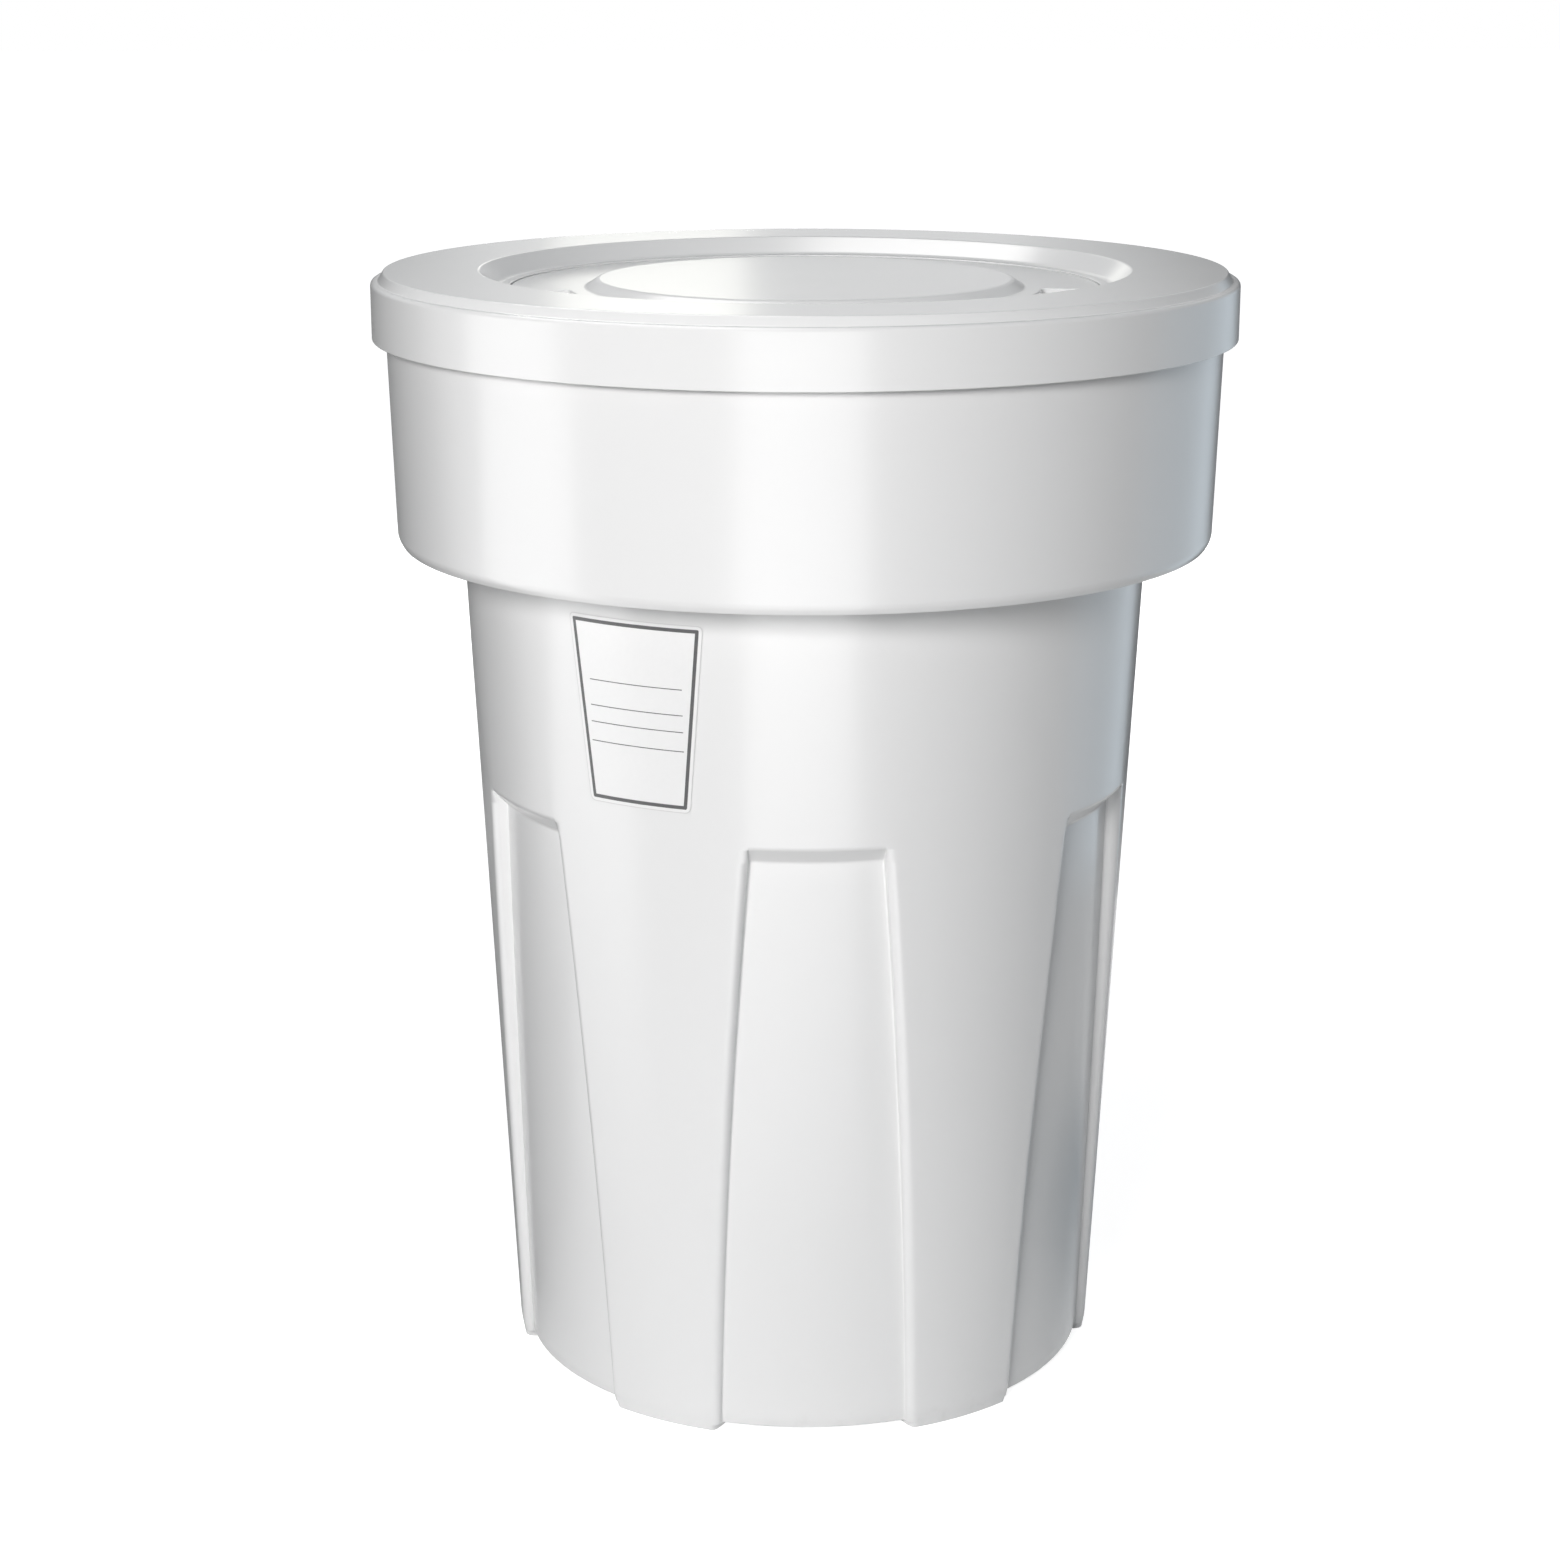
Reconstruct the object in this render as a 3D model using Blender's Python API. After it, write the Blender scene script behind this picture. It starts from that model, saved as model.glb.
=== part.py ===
"""Plastic open head drum: a fluted one-piece body, a lift-off lid ring and a lift-out centre panel.

Metres, +Z up. The drum stands on Z = 0 with its axis on Z, and one flute faces -Y.
"""
from math import asin, cos, hypot, pi, radians, sin, tan

import bmesh
import bpy

# Drum body: the ribs taper down from the neck, under the collar, to the floor
BASE_RADIUS = 0.2441
NECK_RADIUS = 0.2769
COLLAR_HEIGHT = 0.6900
COLLAR_OVERHANG = 0.0523
COLLAR_FLARE = 0.0050
COLLAR_DEPTH = 0.2046
BODY_WALL = 0.0050
FLOOR_THICKNESS = 0.0060
BASE_CORNER = 0.0120
COLLAR_CORNER = 0.0130

# Rolled rim: a bead that centres the lid's skirt, with a lip above it that carries the seal
BEAD_PROUD = 0.0044
BEAD_HEIGHT = 0.0200
BEAD_SLOPE = 0.0030
BEAD_DROP = 0.0077

# Flutes: recesses that widen towards the floor, with bowed sides and a sloping top
FLUTE_COUNT = 6
FLUTE_DROP = 0.1938
FLUTE_BASE_WIDTH = 0.1570
FLUTE_TOP_WIDTH = 0.1130
FLUTE_SIDE_BOW = 0.0044
FLUTE_BASE_DEPTH = 0.0080
FLUTE_TOP_DEPTH = 0.0120
FLUTE_TOP_RUN = 0.0132
FLUTE_DRAFT = radians(20)

# Lid ring, from the skirt inward: shoulder, step, raised annulus, sloping recess wall, ledge and seat
LID_WALL = 0.0050
LID_CLEARANCE = 0.0014
SKIRT_HEIGHT = 0.0443
SKIRT_CORNER = 0.0020
SHOULDER_WIDTH = 0.0060
STEP_RUN = 0.0040
STEP_HEIGHT = 0.0071
ANNULUS_WIDTH = 0.0756
RECESS_RUN = 0.0138
RECESS_DEPTH = 0.0140
LEDGE_WIDTH = 0.0094
SEAT_WIDTH = 0.0092

# Seal between the rim's lip and the lid
SEAL_WIDTH = 0.0110
SEAL_THICKNESS = 0.0032

# Centre panel: flush with the ledge, with two finger slots and a raised middle
PANEL_CLEARANCE = 0.0008
PANEL_THICKNESS = 0.0050
SLOT_CLEARANCE = 0.0025
SLOT_WALL = 0.0040
SLOT_WIDTH = 0.0312
SLOT_DEPTH = 0.0140
SLOT_BACK_ANGLE = radians(8.5)
SLOT_ARC = radians(34)
BOSS_MARGIN = 0.0098
BOSS_RUN = 0.0100
BOSS_HEIGHT = 0.0058

# Label on the rib to the left of the front flute
LABEL_TOP_WIDTH = 0.1166
LABEL_BASE_WIDTH = 0.0874
LABEL_HEIGHT = 0.1464
LABEL_DROP = 0.0226
LABEL_THICKNESS = 0.0004

# Gap between pieces that touch
GAP = 0.0003

# Facets
FLUTE_STEPS = 5
RIB_STEPS = 5
FLUTE_LEVELS = 5
CORNER_STEPS = 3
TURN_STEPS = FLUTE_COUNT * (FLUTE_STEPS + RIB_STEPS + 2)
SLOT_STEPS = 8
LABEL_STEPS = 8
SECTOR = 2 * pi / FLUTE_COUNT
FRONT = -pi / 2


def wall_shift(run, rise):
    """Share of the wall by which a sloping face's ends shift when the wall is offset."""
    return (hypot(run, rise) - run) / rise


# Heights that follow from the sizes above
FLUTE_HEIGHT = COLLAR_HEIGHT - FLUTE_DROP
RIM_HEIGHT = COLLAR_HEIGHT + COLLAR_DEPTH
SEAL_BOTTOM = RIM_HEIGHT + GAP
SEAL_TOP = SEAL_BOTTOM + SEAL_THICKNESS
LID_BACK = SEAL_TOP + GAP
LID_TOP = LID_BACK + LID_WALL
SHOULDER = LID_TOP - STEP_HEIGHT
PANEL_TOP = LID_TOP - RECESS_DEPTH
PANEL_BACK = PANEL_TOP - PANEL_THICKNESS
SEAT = PANEL_BACK - GAP
BEAD_TOP = SHOULDER - LID_WALL - BEAD_DROP

# Radii that follow, from the collar out to the skirt and then in to the raised middle
COLLAR_LOW_RADIUS = NECK_RADIUS + COLLAR_OVERHANG
COLLAR_TOP_RADIUS = COLLAR_LOW_RADIUS + COLLAR_FLARE
BEAD_RADIUS = COLLAR_TOP_RADIUS + BEAD_PROUD
SKIRT_INSIDE = BEAD_RADIUS + LID_CLEARANCE
LID_RADIUS = SKIRT_INSIDE + LID_WALL
STEP_RADIUS = LID_RADIUS - SHOULDER_WIDTH
ANNULUS_RADIUS = STEP_RADIUS - STEP_RUN
STEP_SHIFT = LID_WALL * wall_shift(STEP_RUN, STEP_HEIGHT)
SEAL_OUTSIDE = ANNULUS_RADIUS - STEP_SHIFT - GAP
SEAL_INSIDE = SEAL_OUTSIDE - SEAL_WIDTH
LIP_RADIUS = (SEAL_OUTSIDE + SEAL_INSIDE + BODY_WALL) / 2
RECESS_RADIUS = ANNULUS_RADIUS - ANNULUS_WIDTH
LEDGE_RADIUS = RECESS_RADIUS - RECESS_RUN
SEAT_RADIUS = LEDGE_RADIUS - LEDGE_WIDTH
HOLE_RADIUS = SEAT_RADIUS - SEAT_WIDTH
SLOT_OUTER_RADIUS = HOLE_RADIUS - SLOT_CLEARANCE - SLOT_WALL
SLOT_INNER_RADIUS = SLOT_OUTER_RADIUS - SLOT_WIDTH
BOSS_BASE_RADIUS = SLOT_INNER_RADIUS - SLOT_WALL - BOSS_MARGIN
BOSS_TOP_RADIUS = BOSS_BASE_RADIUS - BOSS_RUN


def plastic(name, colour, roughness):
    material = bpy.data.materials.new(name)
    material.use_nodes = True
    shader = material.node_tree.nodes["Principled BSDF"]
    shader.inputs["Base Color"].default_value = (*colour, 1.0)
    shader.inputs["Roughness"].default_value = roughness
    shader.inputs["Metallic"].default_value = 0.0
    return material


def add_piece(name, bm, material):
    bmesh.ops.recalc_face_normals(bm, faces=bm.faces)
    mesh = bpy.data.meshes.new(name)
    bm.to_mesh(mesh)
    bm.free()
    mesh.shade_smooth()
    mesh.set_sharp_from_angle(angle=radians(30))
    piece = bpy.data.objects.new(name, mesh)
    piece.data.materials.append(material)
    bpy.context.collection.objects.link(piece)
    return piece


def turned(profile, closed):
    """Spin a profile of (radius, height) points around Z."""
    bm = bmesh.new()
    points = [bm.verts.new((radius, 0, height)) for radius, height in profile]
    pairs = list(zip(points, points[1:]))
    if closed:
        pairs.append((points[-1], points[0]))
    edges = [bm.edges.new(pair) for pair in pairs]
    bmesh.ops.spin(bm, geom=points + edges, axis=(0, 0, 1), cent=(0, 0, 0),
                   angle=2 * pi, steps=TURN_STEPS, use_merge=True)
    bmesh.ops.remove_doubles(bm, verts=bm.verts, dist=GAP / 10)
    return bm


def rib_radius(height):
    return BASE_RADIUS + (NECK_RADIUS - BASE_RADIUS) * height / COLLAR_HEIGHT


def flute_share(height):
    return min(max(height / FLUTE_HEIGHT, 0), 1)


def flute_half_width(height):
    share = flute_share(height)
    straight = FLUTE_BASE_WIDTH + (FLUTE_TOP_WIDTH - FLUTE_BASE_WIDTH) * share
    return straight / 2 + 4 * FLUTE_SIDE_BOW * share * (1 - share)


def flute_depth(height):
    return FLUTE_BASE_DEPTH + (FLUTE_TOP_DEPTH - FLUTE_BASE_DEPTH) * flute_share(height)


def ring_points(height, polar):
    return [(radius * cos(angle), radius * sin(angle), height) for radius, angle in polar]


def fluted_ring(height, wall, inset=0.0, dip=True):
    """Points round the tapered side at one height, offset inward by the wall and the inset.

    With dip the ring goes down into the flutes, and without it only its points line up with them.
    """
    depth = flute_depth(height)
    side_run = depth * tan(FLUTE_DRAFT)
    half_width = flute_half_width(height) + wall * wall_shift(side_run, depth)
    radius = rib_radius(height) - wall - inset
    mouth = asin(half_width / radius)
    foot = asin((half_width - side_run) / (radius - depth))
    polar = []
    for flute in range(FLUTE_COUNT):
        middle = FRONT + flute * SECTOR
        for step in range(FLUTE_STEPS + 1):
            polar.append((radius - depth * dip, middle + foot * (2 * step / FLUTE_STEPS - 1)))
        for step in range(RIB_STEPS + 1):
            polar.append((radius, middle + mouth + (SECTOR - 2 * mouth) * step / RIB_STEPS))
    return ring_points(height, polar)


def round_ring(height, radius):
    turn = 2 * pi / TURN_STEPS
    start = FRONT - turn * FLUTE_STEPS / 2
    return ring_points(height, [(radius, start + turn * step) for step in range(TURN_STEPS)])


def floor_corner_rings(floor, corner, wall):
    """Rings of the rounded corner where the side meets the floor."""
    rings = []
    for step in range(CORNER_STEPS + 1):
        turn = pi / 2 * step / CORNER_STEPS
        height = floor + corner * (1 - cos(turn))
        rings.append(fluted_ring(height, wall, corner * (1 - sin(turn))))
    return rings


def flute_rings(floor, wall):
    """Rings from the top of the floor corner to just above the flutes."""
    lift = wall * wall_shift(FLUTE_TOP_RUN, FLUTE_TOP_DEPTH)
    top = FLUTE_HEIGHT + lift
    rings = []
    for step in range(1, FLUTE_LEVELS + 1):
        height = floor + (top - FLUTE_TOP_RUN - floor) * step / FLUTE_LEVELS
        rings.append(fluted_ring(height, wall))
    rings.append(fluted_ring(top, wall, dip=False))
    return rings


def collar_profile(wall):
    """Collar and rolled rim from the neck up, offset inward by the wall."""
    corner = COLLAR_CORNER - wall
    underside = COLLAR_HEIGHT + wall
    bead_base = BEAD_TOP - BEAD_HEIGHT
    bead_lift = wall * wall_shift(BEAD_SLOPE, BEAD_RADIUS - COLLAR_TOP_RADIUS)
    bead_drop = wall * wall_shift(BEAD_SLOPE, BEAD_RADIUS - LIP_RADIUS)
    low_radius = COLLAR_LOW_RADIUS - wall
    points = [(NECK_RADIUS - wall, underside)]
    for step in range(CORNER_STEPS + 1):
        turn = pi / 2 * step / CORNER_STEPS
        points.append((low_radius - corner * (1 - sin(turn)), underside + corner * (1 - cos(turn))))
    points += [
        (COLLAR_TOP_RADIUS - wall, bead_base - BEAD_SLOPE + bead_lift),
        (BEAD_RADIUS - wall, bead_base + bead_lift),
        (BEAD_RADIUS - wall, BEAD_TOP - bead_drop),
        (LIP_RADIUS - wall, BEAD_TOP + BEAD_SLOPE - bead_drop),
        (LIP_RADIUS - wall, RIM_HEIGHT),
    ]
    return points


def make_drum_body(material):
    outer = floor_corner_rings(0.0, BASE_CORNER, 0.0) + flute_rings(BASE_CORNER, 0.0)
    outer += [round_ring(height, radius) for radius, height in collar_profile(0.0)]
    inner_corner = BASE_CORNER - BODY_WALL
    inner = floor_corner_rings(FLOOR_THICKNESS, inner_corner, BODY_WALL)
    inner += flute_rings(FLOOR_THICKNESS + inner_corner, BODY_WALL)
    inner += [round_ring(height, radius) for radius, height in collar_profile(BODY_WALL)]
    bm = bmesh.new()
    loops = [[bm.verts.new(point) for point in points] for points in outer + inner[::-1]]
    for low, high in zip(loops, loops[1:]):
        for index in range(TURN_STEPS):
            after = (index + 1) % TURN_STEPS
            bm.faces.new((low[index], low[after], high[after], high[index]))
    bm.faces.new(loops[0][::-1])
    bm.faces.new(loops[-1])
    return add_piece("drum_body", bm, material)


def make_lid_ring(material):
    recess_slope = RECESS_RUN / RECESS_DEPTH
    underside = SEAT - LID_WALL
    skirt_bottom = SHOULDER - SKIRT_HEIGHT
    back_radius = RECESS_RADIUS + LID_WALL * wall_shift(RECESS_RUN, RECESS_DEPTH)
    profile = [
        (RECESS_RADIUS, LID_TOP),
        (ANNULUS_RADIUS, LID_TOP),
        (STEP_RADIUS, SHOULDER),
        (LID_RADIUS - SKIRT_CORNER, SHOULDER),
        (LID_RADIUS, SHOULDER - SKIRT_CORNER),
        (LID_RADIUS, skirt_bottom),
        (SKIRT_INSIDE, skirt_bottom),
        (SKIRT_INSIDE, SHOULDER - LID_WALL),
        (STEP_RADIUS - STEP_SHIFT, SHOULDER - LID_WALL),
        (ANNULUS_RADIUS - STEP_SHIFT, LID_BACK),
        (back_radius, LID_BACK),
        (back_radius - (LID_BACK - underside) * recess_slope, underside),
        (HOLE_RADIUS, underside),
        (HOLE_RADIUS, SEAT),
        (SEAT_RADIUS, SEAT),
        (SEAT_RADIUS, PANEL_TOP),
        (LEDGE_RADIUS, PANEL_TOP),
    ]
    return add_piece("lid_ring", turned(profile, closed=True), material)


def make_lid_seal(material):
    profile = [
        (SEAL_INSIDE, SEAL_TOP),
        (SEAL_OUTSIDE, SEAL_TOP),
        (SEAL_OUTSIDE, SEAL_BOTTOM),
        (SEAL_INSIDE, SEAL_BOTTOM),
    ]
    return add_piece("lid_seal", turned(profile, closed=True), material)


def slot_blocks(grow, bottom, top):
    """Curved blocks in the shape of the two finger slots, grown outward by grow."""
    inside = SLOT_INNER_RADIUS - grow
    outside = SLOT_OUTER_RADIUS + grow
    spread = grow / SLOT_INNER_RADIUS
    bm = bmesh.new()
    corners = [(inside, bottom), (outside, bottom), (outside, top), (inside, top)]
    for end in (-SLOT_BACK_ANGLE - SLOT_ARC, pi + SLOT_BACK_ANGLE):
        start = end - spread
        face = bm.faces.new([bm.verts.new((r * cos(start), r * sin(start), z)) for r, z in corners])
        bmesh.ops.spin(bm, geom=[face], axis=(0, 0, 1), cent=(0, 0, 0),
                       angle=SLOT_ARC + 2 * spread, steps=SLOT_STEPS)
    return bm


def guide(piece):
    piece.hide_render = True
    piece.display_type = "WIRE"
    return piece


def make_centre_panel(material):
    boss_shift = PANEL_THICKNESS * wall_shift(BOSS_RUN, BOSS_HEIGHT)
    radius = SEAT_RADIUS - PANEL_CLEARANCE
    profile = [
        (0.0, PANEL_TOP + BOSS_HEIGHT),
        (BOSS_TOP_RADIUS, PANEL_TOP + BOSS_HEIGHT),
        (BOSS_BASE_RADIUS, PANEL_TOP),
        (radius, PANEL_TOP),
        (radius, PANEL_BACK),
        (BOSS_BASE_RADIUS - boss_shift, PANEL_BACK),
        (BOSS_TOP_RADIUS - boss_shift, PANEL_BACK + BOSS_HEIGHT),
        (0.0, PANEL_BACK + BOSS_HEIGHT),
    ]
    panel = add_piece("centre_panel", turned(profile, closed=False), material)
    slot_floor = PANEL_TOP - SLOT_DEPTH
    wall_blocks = slot_blocks(SLOT_WALL, slot_floor - SLOT_WALL, PANEL_TOP - PANEL_THICKNESS / 2)
    slot_cuts = slot_blocks(0.0, slot_floor, PANEL_TOP + SLOT_DEPTH)
    for name, bm, operation in (("slot_walls", wall_blocks, "UNION"), ("slot_cuts", slot_cuts, "DIFFERENCE")):
        modifier = panel.modifiers.new(name, "BOOLEAN")
        modifier.operation = operation
        modifier.object = guide(add_piece(name, bm, material))
    return panel


def make_body_label(material):
    top = COLLAR_HEIGHT - LABEL_DROP
    middle = FRONT - SECTOR / 2
    bm = bmesh.new()
    bmesh.ops.create_grid(bm, x_segments=LABEL_STEPS, y_segments=1, size=0.5)
    for vert in bm.verts:
        height = top - LABEL_HEIGHT * (0.5 - vert.co.y)
        width = LABEL_BASE_WIDTH + (LABEL_TOP_WIDTH - LABEL_BASE_WIDTH) * (vert.co.y + 0.5)
        radius = rib_radius(height) + GAP
        angle = middle + vert.co.x * width / radius
        vert.co = (radius * cos(angle), radius * sin(angle), height)
    bmesh.ops.recalc_face_normals(bm, faces=bm.faces)
    bmesh.ops.solidify(bm, geom=bm.faces[:], thickness=LABEL_THICKNESS)
    return add_piece("body_label", bm, material)


for existing in list(bpy.data.objects):
    bpy.data.objects.remove(existing)

moulded_white = plastic("moulded_white", (0.83, 0.84, 0.84), 0.34)
lid_white = plastic("lid_white", (0.84, 0.84, 0.83), 0.32)
seal_rubber = plastic("seal_rubber", (0.06, 0.06, 0.065), 0.70)
label_film = plastic("label_film", (0.86, 0.87, 0.87), 0.40)

make_drum_body(moulded_white)
make_lid_ring(lid_white)
make_lid_seal(seal_rubber)
make_centre_panel(lid_white)
make_body_label(label_film)
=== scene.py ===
from functools import lru_cache
from math import asin, atan2, cos, hypot, pi, radians, sin, tan

import bmesh
import bpy
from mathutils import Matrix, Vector


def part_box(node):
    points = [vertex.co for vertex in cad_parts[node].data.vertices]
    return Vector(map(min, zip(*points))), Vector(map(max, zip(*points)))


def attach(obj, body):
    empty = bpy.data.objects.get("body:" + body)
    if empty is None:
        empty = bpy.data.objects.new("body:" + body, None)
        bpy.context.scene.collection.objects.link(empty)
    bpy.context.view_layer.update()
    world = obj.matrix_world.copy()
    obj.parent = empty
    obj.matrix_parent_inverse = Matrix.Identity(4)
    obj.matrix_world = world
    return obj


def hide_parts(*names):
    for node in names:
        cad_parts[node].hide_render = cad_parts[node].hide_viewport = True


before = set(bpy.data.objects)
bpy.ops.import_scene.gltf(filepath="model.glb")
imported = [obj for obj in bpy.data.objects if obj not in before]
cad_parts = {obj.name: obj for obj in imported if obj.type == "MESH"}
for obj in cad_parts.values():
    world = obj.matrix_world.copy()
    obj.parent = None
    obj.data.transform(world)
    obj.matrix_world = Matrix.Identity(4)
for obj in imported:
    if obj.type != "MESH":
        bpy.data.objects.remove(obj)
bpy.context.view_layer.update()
print("frame loaded:", ", ".join(sorted(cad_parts)))

# Levels and radii that the pieces share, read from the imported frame
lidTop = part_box("lid_ring")[1].z
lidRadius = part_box("lid_ring")[1].x
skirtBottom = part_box("lid_ring")[0].z
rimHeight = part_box("drum_body")[1].z
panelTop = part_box("centre_panel")[1].z
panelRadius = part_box("centre_panel")[1].x
front = -pi / 2          # a flute faces -Y
mergeDistance = 0.00002


def wallShift(run, rise):
    # share of the wall by which a sloping face's ends shift when the wall is offset
    return (hypot(run, rise) - run) / rise


def cornerReach(before, corner, after, rounding):
    # how far along its edges a corner is cut so that its bevel has the given radius
    inward = (Vector(corner) - Vector(before)).normalized()
    outward = (Vector(after) - Vector(corner)).normalized()
    return rounding * tan(inward.angle(outward) / 2)


def bevel(bm, geom, affect, offset, segments):
    bmesh.ops.bevel(bm, geom=geom, offset=offset, affect=affect, segments=segments,
                    profile=0.5, material=-1)


def spinProfile(bm, corners, angle, steps, closed=True, segments=4):
    # corners are (radius, height, rounding): each is rounded by a vertex bevel,
    # then the line is turned about Z
    oldVerts = set(bm.verts)
    points = [(radius, height) for radius, height, rounding in corners]
    verts = [bm.verts.new((radius * cos(angle), radius * sin(angle), height)) for radius, height in points]
    links = list(zip(verts, verts[1:]))
    if closed:
        links.append((verts[-1], verts[0]))
    for link in links:
        bm.edges.new(link)
    for index, (radius, height, rounding) in enumerate(corners):
        if rounding:
            after = points[(index + 1) % len(points)]
            reach = cornerReach(points[index - 1], points[index], after, rounding)
            bevel(bm, [verts[index]], "VERTICES", reach, segments)
    line = [vert for vert in bm.verts if vert not in oldVerts]
    edges = list({edge for vert in line for edge in vert.link_edges})
    bmesh.ops.spin(bm, geom=line + edges, axis=(0, 0, 1), cent=(0, 0, 0), angle=2 * pi,
                   steps=steps, use_merge=True)
    turned = [vert for vert in bm.verts if vert not in oldVerts]
    bmesh.ops.remove_doubles(bm, verts=turned, dist=mergeDistance)
    return [vert for vert in bm.verts if vert not in oldVerts]


def addPiece(name, bm, materials, body, node, merge=mergeDistance):
    bmesh.ops.remove_doubles(bm, verts=bm.verts, dist=merge)
    bmesh.ops.recalc_face_normals(bm, faces=bm.faces)
    mesh = bpy.data.meshes.new(name)
    bm.to_mesh(mesh)
    bm.free()
    mesh.shade_smooth()
    for material in materials:
        mesh.materials.append(material)
    piece = bpy.data.objects.new(name, mesh)
    bpy.context.scene.collection.objects.link(piece)
    # wide faces stay flat beside fillets
    flatNormals = piece.modifiers.new("flatNormals", "WEIGHTED_NORMAL")
    flatNormals.keep_sharp = True
    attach(piece, body)
    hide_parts(node)
    return piece


# Materials
middleNoise = (0.3, 0.7)     # where most of a noise's values lie
mattRoughness = 0.9


def newMaterial(name):
    material = bpy.data.materials.new(name)
    material.use_nodes = True
    tree = material.node_tree
    shader = tree.nodes["Principled BSDF"]
    objectPlace = tree.nodes.new("ShaderNodeTexCoord").outputs["Object"]
    return material, tree, shader, objectPlace


def noise(tree, place, scale, detail, roughness=0.5):
    node = tree.nodes.new("ShaderNodeTexNoise")
    node.inputs["Scale"].default_value = scale
    node.inputs["Detail"].default_value = detail
    node.inputs["Roughness"].default_value = roughness
    tree.links.new(place, node.inputs["Vector"])
    return node.outputs["Fac"]


def mapRange(tree, value, fromMin, fromMax, toMin, toMax):
    node = tree.nodes.new("ShaderNodeMapRange")
    limits = {"From Min": fromMin, "From Max": fromMax, "To Min": toMin, "To Max": toMax}
    for socket, number in limits.items():
        node.inputs[socket].default_value = number
    tree.links.new(value, node.inputs["Value"])
    return node.outputs["Result"]


def maths(tree, operation, *values):
    node = tree.nodes.new("ShaderNodeMath")
    node.operation = operation
    for value, socket in zip(values, node.inputs):
        tree.links.new(value, socket)
    return node.outputs[0]


def axes(tree, place):
    node = tree.nodes.new("ShaderNodeSeparateXYZ")
    tree.links.new(place, node.inputs["Vector"])
    return node.outputs


def mixColour(tree, factor, first, second):
    node = tree.nodes.new("ShaderNodeMix")
    node.data_type = "RGBA"
    tree.links.new(factor, node.inputs["Factor"])
    for socket, colour in zip(node.inputs[6:8], (first, second)):     # the colour sockets
        if isinstance(colour, tuple):
            socket.default_value = (*colour, 1.0)
        else:
            tree.links.new(colour, socket)
    return node.outputs[2]


def bump(tree, shader, height, strength, distance):
    node = tree.nodes.new("ShaderNodeBump")
    node.inputs["Strength"].default_value = strength
    node.inputs["Distance"].default_value = distance
    tree.links.new(height, node.inputs["Height"])
    tree.links.new(node.outputs["Normal"], shader.inputs["Normal"])


whitePlastic = dict(
    bright=(0.800, 0.800, 0.800), dull=(0.790, 0.790, 0.788),   # moulding shade, clean and faintly cloudy
    scuff=(0.70, 0.70, 0.69), scuffHeight=0.03,                 # rubbed foot, fading out above this height
    speckScale=60.0, speckDetail=6.0, speckRoughness=0.7, speckRange=(0.55, 0.75), speckMost=0.6,
    cloudScale=3.5, peelScale=700.0, peelDepth=0.00006, peelStrength=0.10,
    smearScale=6.0, gloss=(0.20, 0.25), ior=1.50,
)


def mouldedPlastic(name, look):
    material, tree, shader, place = newMaterial(name)
    shade = mixColour(tree, noise(tree, place, look["cloudScale"], 1.0), look["bright"], look["dull"])
    nearFloor = mapRange(tree, axes(tree, place)["Z"], 0.0, look["scuffHeight"], 1.0, 0.0)
    specks = noise(tree, place, look["speckScale"], look["speckDetail"], look["speckRoughness"])
    rubbed = mapRange(tree, specks, *look["speckRange"], 0.0, look["speckMost"])
    worn = maths(tree, "MULTIPLY", nearFloor, rubbed)
    tree.links.new(mixColour(tree, worn, shade, look["scuff"]), shader.inputs["Base Color"])
    smears = noise(tree, place, look["smearScale"], 1.0)
    tree.links.new(mapRange(tree, smears, 0.0, 1.0, *look["gloss"]), shader.inputs["Roughness"])
    bump(tree, shader, noise(tree, place, look["peelScale"], 1.0), look["peelStrength"], look["peelDepth"])
    shader.inputs["IOR"].default_value = look["ior"]
    return material


drumWhite = mouldedPlastic("drumWhite", whitePlastic)
lidWhite = mouldedPlastic("lidWhite", {**whitePlastic, "dull": (0.792, 0.792, 0.788)})


sponge = dict(
    dark=(0.030, 0.030, 0.033), pale=(0.075, 0.075, 0.080), gloss=(0.6, 0.85),
    cellScale=900.0, cellDetail=3.0, pitStrength=0.5, pitDepth=0.0003,
)


def spongeRubber(name):
    material, tree, shader, place = newMaterial(name)
    cells = noise(tree, place, sponge["cellScale"], sponge["cellDetail"])
    shade = mixColour(tree, cells, sponge["dark"], sponge["pale"])
    tree.links.new(shade, shader.inputs["Base Color"])
    tree.links.new(mapRange(tree, cells, *middleNoise, *sponge["gloss"]), shader.inputs["Roughness"])
    bump(tree, shader, cells, sponge["pitStrength"], sponge["pitDepth"])
    return material


sealRubber = spongeRubber("sealRubber")


film = dict(
    grainScale=260.0, grainDetail=5.0,
    rippleScale=30.0, rippleDetail=3.0, rippleStrength=0.15, rippleDepth=0.0004,
)


def satinFilm(name, bright, dull, gloss):
    material, tree, shader, place = newMaterial(name)
    grain = noise(tree, place, film["grainScale"], film["grainDetail"])
    tree.links.new(mixColour(tree, grain, dull, bright), shader.inputs["Base Color"])
    tree.links.new(mapRange(tree, grain, *middleNoise, *gloss), shader.inputs["Roughness"])
    ripples = noise(tree, place, film["rippleScale"], film["rippleDetail"])
    bump(tree, shader, ripples, film["rippleStrength"], film["rippleDepth"])
    return material


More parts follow.
